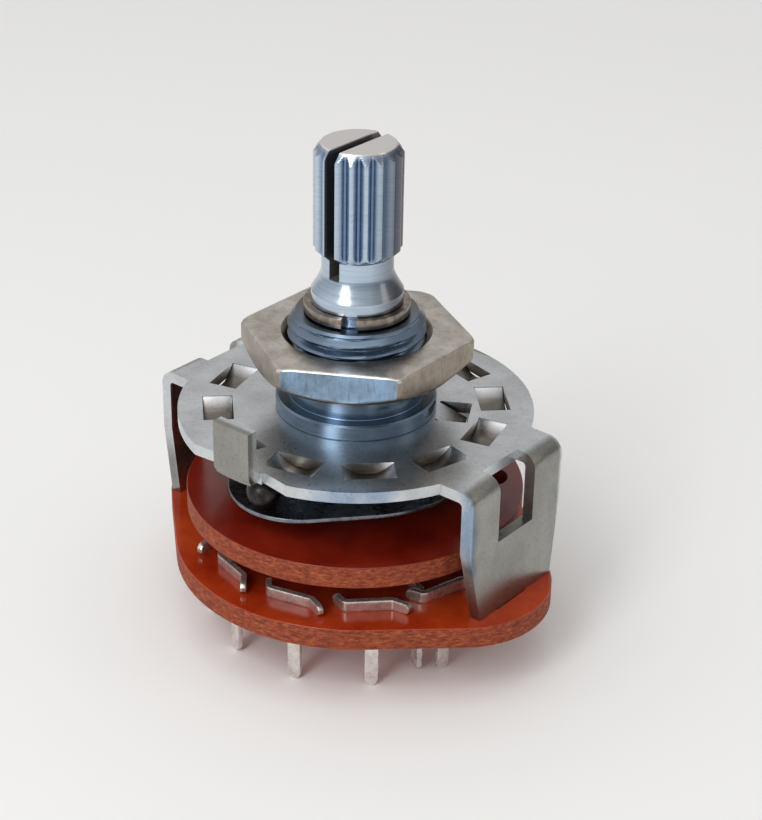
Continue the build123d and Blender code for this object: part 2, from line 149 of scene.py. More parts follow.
world = bpy.data.worlds.new("studio")
world.use_nodes = True
sky = world.node_tree
sky.nodes.clear()
direction = add(sky, "ShaderNodeTexCoord").outputs["Generated"]
upward = add(sky, "ShaderNodeSeparateXYZ", {"Vector": direction})
gradient = add(sky, "ShaderNodeValToRGB", {"Fac": upward.outputs["Z"]}, WORLD_STOPS)
across = add(sky, "ShaderNodeVectorMath", {0: direction, 1: DIM_SIDE}, operation="DOT_PRODUCT")
strength = add(sky, "ShaderNodeMapRange", {"Value": across.outputs["Value"], "From Min": -0.9, "From Max": 0.9,
                                           "To Min": BRIGHT_STRENGTH, "To Max": DIM_STRENGTH})
glow = add(sky, "ShaderNodeBackground", {"Color": gradient.outputs["Color"], "Strength": strength.outputs[0]})
add(sky, "ShaderNodeOutputWorld", {"Surface": glow.outputs[0]})
bpy.context.scene.world = world
print("world gradient with", len(WORLD_STOPS), "stops")

# %% [markdown]
# ## Lights
# A tall window light to the left of the camera draws the white streak down the shaft. A wide soft light hangs
# above, and a small warm one fills the right. Area lights suit metal, because it mirrors their size and shape.

# %% Lights
def make_light(name, azimuth, elevation, distance, size, watts, code):
    """A soft rectangular light that faces the aim point, at an azimuth in degrees right of the camera."""
    data = bpy.data.lights.new(name, "AREA")
    data.shape = "RECTANGLE"
    data.size, data.size_y = size
    data.energy = watts
    data.color = linear(code)[:3]
    light = bpy.data.objects.new(name, data)
    away = towards(CAMERA_AZIMUTH + radians(azimuth), radians(elevation))
    light.location = AIM + away * distance
    light.rotation_euler = away.to_track_quat("Z", "Y").to_euler()
    bpy.context.scene.collection.objects.link(light)
    print(name, "light of", watts, "W")


make_light("window", -34, 38, 0.40, (0.12, 0.30), 0.60, "#FFFFFF")
make_light("overhead", -30, 76, 0.50, (0.50, 0.50), 0.50, "#FFFFFF")
make_light("side", 80, 25, 0.50, (0.14, 0.30), 0.09, "#FFEBD6")

# %% [markdown]
# ## Floor
# The floor is matt white paper. Paper scatters light evenly, so a high roughness and one pale colour do, and
# it is large enough that no view from above the switch reaches its edge.

# %% Floor
FLOOR_HALF = 1.5

ground = bmesh.new()
bmesh.ops.create_grid(ground, x_segments=1, y_segments=1, size=FLOOR_HALF)
bmesh.ops.translate(ground, verts=ground.verts, vec=(0, 0, low[2]))
floor = bpy.data.objects.new("floor", bpy.data.meshes.new("floor"))
ground.to_mesh(floor.data)
ground.free()
bpy.context.scene.collection.objects.link(floor)
paper = bpy.data.materials.new("matt_paper")
paper.use_nodes = True
paper.node_tree.nodes["Principled BSDF"].inputs["Base Color"].default_value = linear("#F2F2F1")
paper.node_tree.nodes["Principled BSDF"].inputs["Roughness"].default_value = 0.9
floor.data.materials.append(paper)
bpy.context.scene.view_settings.view_transform = "Standard"
print("floor at", round(low[2] / MM, 2), "mm")

# %% [markdown]
# ## Starting a material
# Every finish below is a Principled shader whose patterns are measured in real millimetres. Object
# coordinates are in metres, so a Mapping node multiplies them by a thousand, and a noise of scale 2 has
# grains of half a millimetre. A pattern that runs along an axis is stretched by one more multiplication.

# %% Start a material
MATERIALS = {}


def start(name, metallic):
    """A new material, its node tree, its shader, and the place on the piece in mm."""
    material = bpy.data.materials.new(name)
    material.use_nodes = True
    tree = material.node_tree
    shader = tree.nodes["Principled BSDF"]
    shader.inputs["Metallic"].default_value = metallic
    where = add(tree, "ShaderNodeTexCoord")
    place = add(tree, "ShaderNodeMapping", {"Vector": where.outputs["Object"], "Scale": (1 / MM,) * 3})
    return material, tree, shader, place.outputs["Vector"]


def keep(slot, material):
    """Remembers a finish by the record's slot that it is for."""
    MATERIALS[slot] = material
    print(slot, "is", material.name, "with", len(material.node_tree.nodes), "nodes")


print("finishes to make:", ", ".join(sorted(set(SLOT_OF.values()))))

# %% [markdown]
# ## Painted reflection on blue bright zinc
# Bright zinc is sealed in a passivation bath. The film is a fraction of a micrometre thick and shows
# interference colours, from clear blue to a warm straw where it dried thicker. On these parts the drift from
# warm to blue is a painted reflection, with the blue on the side that faces the camera. The shader's own thin
# film input could show the film, but would colour every side alike, so a ramp along one direction gives the
# drift, and a soft noise keeps its border uneven.

# %% Painted reflection colour
BLUE_SIDE = (0.625, -0.780, 0.0)
BORDER_MM = 1.6


def painted_reflection_drift(tree, place, warm, cool, start_mm, end_mm):
    """A painted reflection: a colour drifting from warm to cool between two distances in mm towards the blue
    side.
    """
    along = add(tree, "ShaderNodeVectorMath", {0: place, 1: BLUE_SIDE}, operation="DOT_PRODUCT")
    cloud = add(tree, "ShaderNodeTexNoise", {"Vector": place, "Scale": 0.4, "Detail": 3.0})
    shifted = add(tree, "ShaderNodeMath", {0: cloud.outputs["Fac"], 1: BORDER_MM, 2: along.outputs["Value"]},
                  operation="MULTIPLY_ADD")
    share = add(tree, "ShaderNodeMapRange", {"Value": shifted.outputs[0], "From Min": start_mm + BORDER_MM / 2,
                                             "From Max": end_mm + BORDER_MM / 2},
                interpolation_type="SMOOTHSTEP")
    return add(tree, "ShaderNodeValToRGB", {"Fac": share.outputs[0]}, ((0.0, warm), (1.0, cool)))


print("blue towards azimuth", round(degrees(atan2(BLUE_SIDE[0], -BLUE_SIDE[1])), 1))

# %% [markdown]
# ## Zinc plated sheet steel
# The frame is blanked from cold rolled strip, barrel plated with zinc and passivated clear. Barrel plating
# leaves a satin grey with soft clouds a few millimetres wide, a fine grain, and little dents where parts
# An image texture could show this from one side, and noise at those sizes shows it from
# every side. The outer faces of the legs and the lug are darkened as painted shade on upright faces, the
# front rim is painted bluish as a painted reflection, and the sunk bumps are darkened, partly for old grease
# and partly as painted shade.

# %% Where the sheet gets painted shade
RIM_FROM, RIM_TO = 11.8, 12.6
LEG_FROM, LEG_TO, LUG_FROM, LUG_TO = 12.8, 13.3, 11.9, 12.2
LEG_SIDE_FROM, LEG_SIDE_TO = 5.02, 4.80
BOWL_REACH, BOWL_TOP, BOWL_FLOOR = 10.9, -1.15, -1.7


def bent_areas(tree, place):
    """One on the outer faces of the legs and the lug, and nothing on the disc."""
    both = add(tree, "ShaderNodeVectorMath", {0: place}, operation="ABSOLUTE")
    corner = add(tree, "ShaderNodeSeparateXYZ", {"Vector": both.outputs[0]})
    leg = add(tree, "ShaderNodeMapRange", {"Value": corner.outputs["X"], "From Min": LEG_FROM,
                                           "From Max": LEG_TO})
    side = add(tree, "ShaderNodeMapRange", {"Value": corner.outputs["Y"], "From Min": LEG_SIDE_FROM,
                                            "From Max": LEG_SIDE_TO})
    lug = add(tree, "ShaderNodeMapRange", {"Value": corner.outputs["Y"], "From Min": LUG_FROM,
                                           "From Max": LUG_TO})
    face = add(tree, "ShaderNodeMath", {0: leg.outputs[0], 1: side.outputs[0]}, operation="MULTIPLY")
    return add(tree, "ShaderNodeMath", {0: face.outputs[0], 1: lug.outputs[0]}, operation="MAXIMUM").outputs[0]


def bump_bowls(tree, place):
    """One at the bottom of the bumps, and nothing above the disc's face or outside the ring of bumps."""
    flat = add(tree, "ShaderNodeVectorMath", {0: place, 1: (1, 1, 0)}, operation="MULTIPLY")
    radius = add(tree, "ShaderNodeVectorMath", {0: flat.outputs[0]}, operation="LENGTH")
    inside = add(tree, "ShaderNodeMath", {0: radius.outputs["Value"], 1: BOWL_REACH}, operation="LESS_THAN")
    height = add(tree, "ShaderNodeSeparateXYZ", {"Vector": place})
    sunk = add(tree, "ShaderNodeMapRange", {"Value": height.outputs["Z"], "From Min": BOWL_TOP,
                                            "From Max": BOWL_FLOOR})
    return add(tree, "ShaderNodeMath", {0: sunk.outputs[0], 1: inside.outputs[0]},
               operation="MULTIPLY").outputs[0]


print("worn beyond", LEG_FROM, "mm along X and", LUG_FROM, "mm along Y")

# %% [markdown]
# With the masks ready, the finish is one cloudy tone, multiplied by four tints in turn.

# %% Zinc plated sheet
def zinc_sheet():
    material, tree, shader, place = start("zinc_plated_sheet", 1.0)
    clouds = add(tree, "ShaderNodeTexNoise", {"Vector": place, "Scale": 0.32, "Detail": 4.0, "Roughness": 0.6})
    grain = add(tree, "ShaderNodeTexNoise", {"Vector": place, "Scale": 5.0, "Detail": 3.0, "Roughness": 0.7})
    knocks = add(tree, "ShaderNodeTexVoronoi", {"Vector": place, "Scale": 0.35, "Randomness": 1.0})
    tone = add(tree, "ShaderNodeValToRGB", {"Fac": clouds.outputs["Fac"]},
               ((0.35, "#C0C4C7"), (0.65, "#D8DBDE")))
    flecks = add(tree, "ShaderNodeValToRGB", {"Fac": grain.outputs["Fac"]},
                 ((0.25, "#C2C3C3"), (0.50, "#FFFFFF")))
    # The rim's bluish tint is a painted reflection on the side that faces the camera.
    rim = painted_reflection_drift(tree, place, "#FFFFFF", "#B9CFE8", RIM_FROM, RIM_TO)
    # Darkening the outer faces of the legs and the lug is painted shade on upright faces.
    shaded = add(tree, "ShaderNodeValToRGB", {"Fac": bent_areas(tree, place)},
               ((0.0, "#FFFFFF"), (1.0, "#BAB6AD")))
    # Darkening the bowls is partly old grease and partly painted shade in the recess.
    grease_and_shade = add(tree, "ShaderNodeValToRGB", {"Fac": bump_bowls(tree, place)},
                 ((0.0, "#FFFFFF"), (1.0, "#9D948A")))
    colour = tone.outputs["Color"]
    # Of the four tints, the rim's blue is a painted reflection, the legs' and lug's is painted shade, and the
    # bowls' is partly grease and partly painted shade.
    for share, tint in ((0.5, flecks), (1.0, rim), (1.0, shaded), (1.0, grease_and_shade)):
        colour = add(tree, "ShaderNodeMix", {"Factor": share, FIRST: colour, SECOND: tint.outputs["Color"]},
                     data_type="RGBA", blend_type="MULTIPLY").outputs[MIXED]
    tree.links.new(colour, shader.inputs["Base Color"])
    satin = add(tree, "ShaderNodeMapRange", {"Value": grain.outputs["Fac"], "To Min": 0.22, "To Max": 0.38})
    tree.links.new(satin.outputs[0], shader.inputs["Roughness"])
    dent = add(tree, "ShaderNodeMapRange", {"Value": knocks.outputs["Distance"], "From Max": 0.12})
    height = add(tree, "ShaderNodeMath", {0: grain.outputs["Fac"], 1: 0.35, 2: dent.outputs[0]},
                 operation="MULTIPLY_ADD")
    bump = add(tree, "ShaderNodeBump", {"Height": height.outputs[0], "Strength": 0.18, "Distance": 0.02 * MM})
    tree.links.new(bump.outputs[0], shader.inputs["Normal"])
    return material


keep("zinc_plate", zinc_sheet())

# %% [markdown]
# ## Turned metal
# Shaft, bushing and spacers are turned on an automatic lathe. The tool leaves rings so fine that they only
# spread the highlight round the axis. They are drawn about 0.1 mm apart, which is coarser than real, as a
# noise squeezed along the axis, and touch the roughness, a faint bump and a little of the tone.

# %% Turned metals
RING_STRETCH = (0.25, 0.25, 9.0)


def turned(name, warm, cool, start_mm, end_mm, smoothest, roughest):
    material, tree, shader, place = start(name, 1.0)
    squeezed = add(tree, "ShaderNodeVectorMath", {0: place, 1: RING_STRETCH}, operation="MULTIPLY")
    rings = add(tree, "ShaderNodeTexNoise", {"Vector": squeezed.outputs[0], "Scale": 1.0, "Detail": 2.0})
    # The tone drifts lighter and bluer towards the camera's side, as a painted reflection.
    tone = painted_reflection_drift(tree, place, warm, cool, start_mm, end_mm)
    shade = add(tree, "ShaderNodeValToRGB", {"Fac": rings.outputs["Fac"]},
                ((0.35, "#EEEEEE"), (0.65, "#FFFFFF")))
    mixed = add(tree, "ShaderNodeMix", {"Factor": 1.0, FIRST: tone.outputs["Color"],
                                        SECOND: shade.outputs["Color"]},
                data_type="RGBA", blend_type="MULTIPLY")
    tree.links.new(mixed.outputs[MIXED], shader.inputs["Base Color"])
    gloss = add(tree, "ShaderNodeMapRange", {"Value": rings.outputs["Fac"], "To Min": smoothest,
                                             "To Max": roughest})
    tree.links.new(gloss.outputs[0], shader.inputs["Roughness"])
    bump = add(tree, "ShaderNodeBump", {"Height": rings.outputs["Fac"], "Strength": 0.2, "Distance": 0.01 * MM})
    tree.links.new(bump.outputs[0], shader.inputs["Normal"])
    return material


keep("bushing_metal", turned("zinc_with_painted_blue_reflection", "#6E6C6A", "#76899D", -1.5, 3.0, 0.16, 0.32))
keep("turned_steel", turned("turned_mild_steel", "#7E8288", "#9A9DA1", -3.0, 3.0, 0.25, 0.40))

# %% [markdown]
# ## The shaft's marks and painted light
# The shaft is bright nickel plate with the turned finish, and four differences. The floors of the knurl's
# grooves are darkened as painted shade, the side towards the dim surroundings is darkened as painted shade,
# the saw cut shows bare steel darkened further as painted shade in the slot, and the top end is made pale as a
# painted highlight. Masks in mm pick out each place, and its tint is multiplied in.

# %% Painted shade in the groove floors
GROOVE_EDGE, GROOVE_FLOOR = 2.93, 2.66
KNURL_FROM, KNURL_FULL, KNURL_LAST, KNURL_END = 10.4, 10.8, 17.7, 18.0
SHADED_SIDE_FROM, SHADED_SIDE_TO = 0.9, 2.6
CUT_SIDE, CUT_FLOOR = 0.435, 9.0
END_FROM, END_TO = 17.98, 18.06


# The darker tint at the groove floors is painted shade.
def groove_shade(tree, place, height):
    """One at the bottom of the knurl's grooves, and nothing elsewhere."""
    flat = add(tree, "ShaderNodeVectorMath", {0: place, 1: (1, 1, 0)}, operation="MULTIPLY")
    radius = add(tree, "ShaderNodeVectorMath", {0: flat.outputs[0]}, operation="LENGTH")
    mask = add(tree, "ShaderNodeMapRange", {"Value": radius.outputs["Value"], "From Min": GROOVE_EDGE,
                                            "From Max": GROOVE_FLOOR})
    for begin, end in ((KNURL_FROM, KNURL_FULL), (KNURL_END, KNURL_LAST)):
        limit = add(tree, "ShaderNodeMapRange", {"Value": height, "From Min": begin, "From Max": end})
        mask = add(tree, "ShaderNodeMath", {0: mask.outputs[0], 1: limit.outputs[0]}, operation="MULTIPLY")
    return mask.outputs[0]


print("grooves dull from radius", GROOVE_EDGE, "to", GROOVE_FLOOR, "mm")

# %% [markdown]
# Each mask drives a ramp between white and its tint, so it changes nothing outside its own place.

# %% Shaft finish
def shaft_finish():
    material = turned("bright_nickel", "#D8D2D0", "#BCCCDD", -1.4, 1.8, 0.14, 0.28)
    tree = material.node_tree
    shader = tree.nodes["Principled BSDF"]
    place = tree.nodes["Mapping"].outputs["Vector"]
    colour = shader.inputs["Base Color"].links[0].from_socket
    spot = add(tree, "ShaderNodeSeparateXYZ", {"Vector": place})
    side = add(tree, "ShaderNodeVectorMath", {0: place, 1: DIM_SIDE}, operation="DOT_PRODUCT")
    dim_side_shade = add(tree, "ShaderNodeMapRange", {"Value": side.outputs["Value"], "From Min": SHADED_SIDE_FROM,
                                               "From Max": SHADED_SIDE_TO})
    off = add(tree, "ShaderNodeMath", {0: spot.outputs["X"]}, operation="ABSOLUTE")
    # Inside the slot the steel is bare, and its darker tint is also painted shade.
    beside = add(tree, "ShaderNodeMath", {0: off.outputs[0], 1: CUT_SIDE}, operation="GREATER_THAN")
    below = add(tree, "ShaderNodeMath", {0: spot.outputs["Z"], 1: CUT_FLOOR}, operation="LESS_THAN")
    plated = add(tree, "ShaderNodeMath", {0: beside.outputs[0], 1: below.outputs[0]}, operation="MAXIMUM")
    # The grooves' and the dim side's tints are painted shade; the slot's tint is bare steel darkened further as
    # painted shade.
    for mask, stops in ((groove_shade(tree, place, spot.outputs["Z"]), ((0.0, "#FFFFFF"), (1.0, "#9AA9BC"))),
                        (dim_side_shade.outputs[0], ((0.0, "#FFFFFF"), (1.0, "#9B9290"))),
                        (plated.outputs[0], ((0.0, "#857C74"), (1.0, "#FFFFFF")))):
        tint = add(tree, "ShaderNodeValToRGB", {"Fac": mask}, stops)
        colour = add(tree, "ShaderNodeMix", {"Factor": 1.0, FIRST: colour, SECOND: tint.outputs["Color"]},
                     data_type="RGBA", blend_type="MULTIPLY").outputs[MIXED]
    # The top end is mixed towards a pale colour as a painted highlight.
    top_end = add(tree, "ShaderNodeMapRange", {"Value": spot.outputs["Z"], "From Min": END_FROM,
                                             "From Max": END_TO})
    painted_top_highlight = add(tree, "ShaderNodeMix", {"Factor": top_end.outputs[0], FIRST: colour, SECOND: linear("#F4EFEC")},
                data_type="RGBA")
    tree.links.new(painted_top_highlight.outputs[MIXED], shader.inputs["Base Color"])
    metal = add(tree, "ShaderNodeMapRange", {"Value": plated.outputs[0], "To Min": 0.25, "To Max": 1.0})
    tree.links.new(metal.outputs[0], shader.inputs["Metallic"])
    return material


keep("shaft_metal", shaft_finish())

# %% [markdown]
# ## Dull plated steel
# The nut is stamped and tapped in bulk and shows it: a warm grey with darker stains, fine upright scratches on
# its flats, and a roughness that changes from patch to patch. Light and shade are painted into its tone: the top
# face is painted paler and the flats a darker warm grey, the flat towards the camera is painted bluish as a
# painted reflection, and that flat's rounded upper edge is painted white as a painted highlight.

# %% The nut's painted light and shade
NUT_FLAT = (0.5, -0.866, 0.0)
SCRATCH_STRETCH = (6.0, 6.0, 1.2)
FRONT_NEAR_FROM, FRONT_NEAR_TO, REFLECTION_FROM, REFLECTION_TO = 6.84, 6.92, 7.04, 7.09
TOP_LIGHT_FROM, TOP_LIGHT_TO, HIGHLIGHT_EDGE_FROM, HIGHLIGHT_EDGE_TO = 4.42, 4.62, 4.28, 4.42


def nut_painted_light(tree, place, height):
    """Painted light on the nut: paler top, darker flats, and a bluish reflection and edge highlight on one flat.
    """
    across = add(tree, "ShaderNodeVectorMath", {0: place, 1: NUT_FLAT}, operation="DOT_PRODUCT")
    near = add(tree, "ShaderNodeMapRange", {"Value": across.outputs["Value"], "From Min": FRONT_NEAR_FROM,
                                            "From Max": FRONT_NEAR_TO})
    reflecting_flat = add(tree, "ShaderNodeMapRange", {"Value": across.outputs["Value"], "From Min": REFLECTION_FROM,
                                              "From Max": REFLECTION_TO})
    upper = add(tree, "ShaderNodeMapRange", {"Value": height, "From Min": TOP_LIGHT_FROM, "From Max": TOP_LIGHT_TO})
    edge = add(tree, "ShaderNodeMapRange", {"Value": height, "From Min": HIGHLIGHT_EDGE_FROM,
                                            "From Max": HIGHLIGHT_EDGE_TO})
    # The top face is painted paler than the flats as painted light, and the flats darker as painted shade.
    painted_top_light = add(tree, "ShaderNodeValToRGB", {"Fac": upper.outputs[0]}, ((0.0, "#A1978C"), (1.0, "#D6D0C9")))
    # The flat towards the camera gets a painted bluish reflection, and its upper edge a painted white highlight.
    front = add(tree, "ShaderNodeValToRGB", {"Fac": reflecting_flat.outputs[0]}, ((0.0, "#F6F6F4"), (1.0, "#93AFCC")))
    shown = add(tree, "ShaderNodeMath", {0: reflecting_flat.outputs[0], 1: edge.outputs[0]}, operation="MAXIMUM")
    share = add(tree, "ShaderNodeMath", {0: near.outputs[0], 1: shown.outputs[0]}, operation="MULTIPLY")
    return add(tree, "ShaderNodeMix", {"Factor": share.outputs[0], FIRST: painted_top_light.outputs["Color"],
                                       SECOND: front.outputs["Color"]}, data_type="RGBA").outputs[MIXED]


# The flat at this azimuth carries the painted bluish reflection.
print("film on the flat at azimuth", round(degrees(atan2(NUT_FLAT[0], -NUT_FLAT[1]))))

# %% [markdown]
# Stains and scratches come on top of the painted light and shade, and the stains move the gloss as well.

# %% Dull plated steel
def nut_steel():
    material, tree, shader, place = start("dull_plated_steel", 1.0)
    stains = add(tree, "ShaderNodeTexNoise", {"Vector": place, "Scale": 0.5, "Detail": 5.0, "Roughness": 0.65})
    scratched = add(tree, "ShaderNodeVectorMath", {0: place, 1: SCRATCH_STRETCH}, operation="MULTIPLY")
    specks = add(tree, "ShaderNodeTexNoise", {"Vector": scratched.outputs[0], "Scale": 1.0, "Detail": 3.0,
                                              "Roughness": 0.7})
    colour = nut_painted_light(tree, place, add(tree, "ShaderNodeSeparateXYZ", {"Vector": place}).outputs["Z"])
    dirt = add(tree, "ShaderNodeValToRGB", {"Fac": stains.outputs["Fac"]},
               ((0.30, "#B3A693"), (0.60, "#FFFFFF")))
    flecks = add(tree, "ShaderNodeValToRGB", {"Fac": specks.outputs["Fac"]},
                 ((0.30, "#C4BBB2"), (0.50, "#FFFFFF")))
    for share, tint in ((0.7, dirt), (0.5, flecks)):
        colour = add(tree, "ShaderNodeMix", {"Factor": share, FIRST: colour, SECOND: tint.outputs["Color"]},
                     data_type="RGBA", blend_type="MULTIPLY").outputs[MIXED]
    tree.links.new(colour, shader.inputs["Base Color"])
    patchy = add(tree, "ShaderNodeMapRange", {"Value": stains.outputs["Fac"], "To Min": 0.20, "To Max": 0.42})
    tree.links.new(patchy.outputs[0], shader.inputs["Roughness"])
    bump = add(tree, "ShaderNodeBump", {"Height": specks.outputs["Fac"], "Strength": 0.35,
                                        "Distance": 0.012 * MM})
    tree.links.new(bump.outputs[0], shader.inputs["Normal"])
    return material


keep("nut_steel", nut_steel())

# %% [markdown]
# ## Small metals
# Small parts need little pattern, so one fine grain moves both their tone and their gloss. Spring steel is
# brown-grey from heat treatment, or left as bright as it was rolled. The detent balls are polished bearing
# steel, painted nearly black as painted shade for the dark gap they sit in. Contacts are silver plated, and the
# terminals' silver has tarnished, which hides a little of the metal.

# %% Small metals
def plain_metal(name, dark, light, smoothest, roughest, grain_mm, metallic=1.0):
    material, tree, shader, place = start(name, metallic)
    grain = add(tree, "ShaderNodeTexNoise", {"Vector": place, "Scale": 1 / grain_mm, "Detail": 3.0})
    tone = add(tree, "ShaderNodeValToRGB", {"Fac": grain.outputs["Fac"]}, ((0.35, dark), (0.65, light)))
    tree.links.new(tone.outputs["Color"], shader.inputs["Base Color"])
    gloss = add(tree, "ShaderNodeMapRange", {"Value": grain.outputs["Fac"], "To Min": smoothest,
                                             "To Max": roughest})
    tree.links.new(gloss.outputs[0], shader.inputs["Roughness"])
    return material


keep("spring_steel", plain_metal("tempered_spring_steel", "#766C62", "#9E9389", 0.18, 0.30, 0.5))
keep("spring_leaf", plain_metal("rolled_spring_strip", "#6F747B", "#8D9299", 0.22, 0.34, 0.6))
# The balls' near black tone is painted shade.
keep("ball_steel", plain_metal("bearing_steel_in_painted_shade", "#2E2C2A", "#46433F", 0.30, 0.42, 0.5))
keep("contact_metal", plain_metal("silver_plate", "#BDB9B2", "#D6D3CE", 0.20, 0.32, 0.4))
keep("terminal_metal", plain_metal("tarnished_silver_plate", "#D3CDC6", "#ECE8E3", 0.22, 0.34, 0.6, 0.85))

# %% [markdown]
# ## Phenolic paper laminate
# Both discs are punched from paper pressed with phenolic resin. The pressed faces are glossy and deep red with
# slow cloudy changes. The punched edge tears through the layers of paper, so it is dull, browner and streaked
# with pale fibres. A second material could cover the edge. Here it is found from the height within the sheet,
# which also catches the walls of the holes.

# %% Phenolic laminate
EDGE_FROM, EDGE_FULL = 0.02, 0.09
FIBRE_STRETCH = (1.5, 1.5, 5.0)
FIBRE_STOPS = ((0.30, "#4A1607"), (0.50, "#8A3616"), (0.72, "#BC6C3A"))
RESIN_IOR = 1.52


def punched_edge(tree, place, node):
    """One on a sheet's edge, and nothing on its two faces."""
    bottom, top = (corner[2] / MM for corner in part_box(node))
    half = (top - bottom) / 2
    height = add(tree, "ShaderNodeSeparateXYZ", {"Vector": place})
    middle = add(tree, "ShaderNodeMath", {0: height.outputs["Z"], 1: (bottom + top) / 2}, operation="SUBTRACT")
    off = add(tree, "ShaderNodeMath", {0: middle.outputs[0]}, operation="ABSOLUTE")
    return add(tree, "ShaderNodeMapRange", {"Value": off.outputs[0], "From Min": half - EDGE_FROM,
                                            "From Max": half - EDGE_FULL}).outputs[0]


def laminate(name, node, dark, light):
    material, tree, shader, place = start(name, 0.0)
    edge = punched_edge(tree, place, node)
    cloud = add(tree, "ShaderNodeTexNoise", {"Vector": place, "Scale": 0.22, "Detail": 4.0, "Roughness": 0.6})
    face = add(tree, "ShaderNodeValToRGB", {"Fac": cloud.outputs["Fac"]}, ((0.3, dark), (0.7, light)))
    layers = add(tree, "ShaderNodeVectorMath", {0: place, 1: FIBRE_STRETCH}, operation="MULTIPLY")
    fibre = add(tree, "ShaderNodeTexNoise", {"Vector": layers.outputs[0], "Scale": 1.3, "Detail": 6.0,
                                             "Roughness": 0.75})
    torn = add(tree, "ShaderNodeValToRGB", {"Fac": fibre.outputs["Fac"]}, FIBRE_STOPS)
    colour = add(tree, "ShaderNodeMix", {"Factor": edge, FIRST: face.outputs["Color"],
                                         SECOND: torn.outputs["Color"]}, data_type="RGBA")
    tree.links.new(colour.outputs[MIXED], shader.inputs["Base Color"])
    gloss = add(tree, "ShaderNodeMapRange", {"Value": edge, "To Min": 0.18, "To Max": 0.80})
    tree.links.new(gloss.outputs[0], shader.inputs["Roughness"])
    shader.inputs["IOR"].default_value = RESIN_IOR
    relief = add(tree, "ShaderNodeMath", {0: fibre.outputs["Fac"], 1: edge}, operation="MULTIPLY")
    bump = add(tree, "ShaderNodeBump", {"Height": relief.outputs[0], "Strength": 0.6, "Distance": 0.05 * MM})
    tree.links.new(bump.outputs[0], shader.inputs["Normal"])
    return material


# The rotor's face is given darker reds than the board's, as painted shade under the frame.
keep("rotor_laminate", laminate("phenolic_rotor", "rotor_disc", "#5E0F07", "#8A2412"))
keep("board_laminate", laminate("phenolic_board", "stator_board", "#8A1F08", "#B5431A"))

# %% [markdown]
# ## Edges
# No real edge is perfectly sharp: a blanked sheet has a rolled side and a burr side, and plating rounds both.
# That thin round is what catches the light. The nodes that already have the right shape are copied, merged
# into one skin, and bevelled along every edge sharper than 26 degrees. The limit lies above the angle between
# the small facets of a round, and below that of any real corner.

# %% Break edges
CRISP, NEARLY_FLAT = radians(26), radians(0.6)
EDGE_WIDTHS = {"circlip": 0.06, "stop_arm": 0.06, "upper_spacer": 0.06, "lower_spacer": 0.06,
               "rotor_washer": 0.05, "detent_spring": 0.05, "rotor_disc": 0.06, "stator_board": 0.06,
               "moving_contact": 0.04, "common_terminal": 0.05}


def skin_of(node):
    """A copy of a node's loose triangles, merged into one closed skin."""
    shape = bmesh.new()
    shape.from_mesh(frame["nodes"][node].data)
    bmesh.ops.remove_doubles(shape, verts=shape.verts, dist=0.002 * MM)
    return shape


def break_edges(shape, width):
    """Merges flat areas, then rounds every crisp edge by that width in mm."""
    bmesh.ops.dissolve_limit(shape, angle_limit=NEARLY_FLAT, verts=shape.verts, edges=shape.edges)
    crisp = [e for e in shape.edges if len(e.link_faces) == 2 and e.calc_face_angle(0) > CRISP]
    bmesh.ops.bevel(shape, geom=crisp, offset=width * MM, offset_type="OFFSET", segments=3, profile=0.5,
                    affect="EDGES", clamp_overlap=True, material=-1)


print("edges sharper than", round(degrees(CRISP)), "degrees are rounded")

# %% [markdown]
# A finished bmesh becomes a piece: it rides on the node's body, hides the node, and takes its slot's finish.
# Crisp edges are marked sharp, and weighted normals keep the flat faces beside a bevel looking flat.

# %% Place the pieces that only need their edges broken
def place_piece(name, shape, node, weighted=True):
    """Turns a bmesh into a piece that stands for a node, with its body, slot and material."""
    for face in shape.faces:
        face.smooth = True
    for edge in shape.edges:
        edge.smooth = len(edge.link_faces) == 2 and edge.calc_face_angle(0) < CRISP
    mesh = bpy.data.meshes.new(name)
    shape.to_mesh(mesh)
    shape.free()
    mesh.materials.append(MATERIALS[SLOT_OF[node]])
    piece = bpy.data.objects.new(name, mesh)
    bpy.context.scene.collection.objects.link(piece)
    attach(piece, BODY_OF[node])
    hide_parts(node)
    if weighted:
        piece.modifiers.new("weighted", "WEIGHTED_NORMAL").keep_sharp = True
    print(name, "has", len(mesh.polygons), "faces")


for node, width in EDGE_WIDTHS.items():
    shape = skin_of(node)
    break_edges(shape, width)
    place_piece(node + "_finished", shape, node)

# %% [markdown]
# ## Detent balls
# Two bearing balls sit in the leaf's seats. A real ball is lapped round to a fraction of a micrometre, so an
# icosphere fine enough to have a round outline is its true shape. It has no poles, unlike a UV sphere.

# %% Detent balls
for node in ("detent_ball_front", "detent_ball_rear"):
    bottom, top = (Vector(corner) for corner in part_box(node))
    shape = bmesh.new()
    bmesh.ops.create_icosphere(shape, subdivisions=4, radius=(top.z - bottom.z) / 2)
    bmesh.ops.translate(shape, verts=shape.verts, vec=(bottom + top) / 2)
    place_piece(node + "_round", shape, node, weighted=False)

# %% [markdown]
# ## Turning a shape
# The nut, the bushing and the shaft are lathe work, and so is the way they are made here: half an outline is
# drawn in the XZ plane and spun once round the axis. A Screw modifier could do the same, but the operator
# leaves real points, which can then be moved to make flats, grooves and threads.

# %% Spin an outline
MERGE = 0.001 * MM


def spun(outline, steps, closed=True):
    """A bmesh turned about the Z axis from pairs of radius and height in mm."""
    shape = bmesh.new()
    points = [shape.verts.new((radius * MM, 0, height * MM)) for radius, height in outline]
    following = points[1:] + (points[:1] if closed else [])
    edges = [shape.edges.new(pair) for pair in zip(points, following)]
    bmesh.ops.spin(shape, geom=points + edges, cent=(0, 0, 0), axis=(0, 0, 1), angle=tau, steps=steps,
                   use_merge=True)
    bmesh.ops.remove_doubles(shape, verts=shape.verts, dist=MERGE)
    return shape


